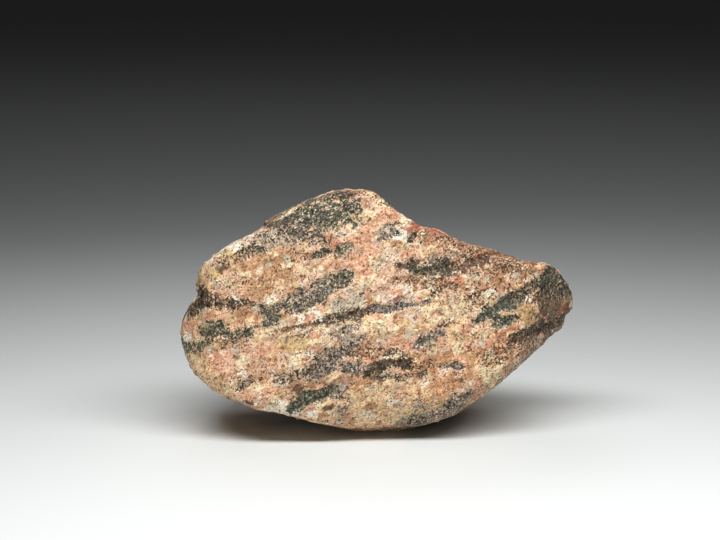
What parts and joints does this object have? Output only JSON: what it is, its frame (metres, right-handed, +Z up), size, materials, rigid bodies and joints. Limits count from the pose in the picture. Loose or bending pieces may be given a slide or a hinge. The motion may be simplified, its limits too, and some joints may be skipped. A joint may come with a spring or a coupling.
{
  "type": "metamorphic rock",
  "caption": "Hand specimen of coarse-grained pink gneiss with wavy dark mica bands, a broken lozenge-shaped stone that rests on a small flat spot",
  "frame": {"origin": "on the surface the stone rests on, under the middle of its length and depth", "axes": "+Z up, +X along the stone's length to the right of its broad face, and the broad face looks along -Y"},
  "size_m": [0.1094, 0.0562, 0.068],
  "materials": {
    "gneiss": "broken, dull, coarse crystals of pink feldspar and pale quartz in wavy bands with dark green-black mica"
  },
  "bodies": {
    "root": {"rock": "gneiss"}
  },
  "joints": []
}
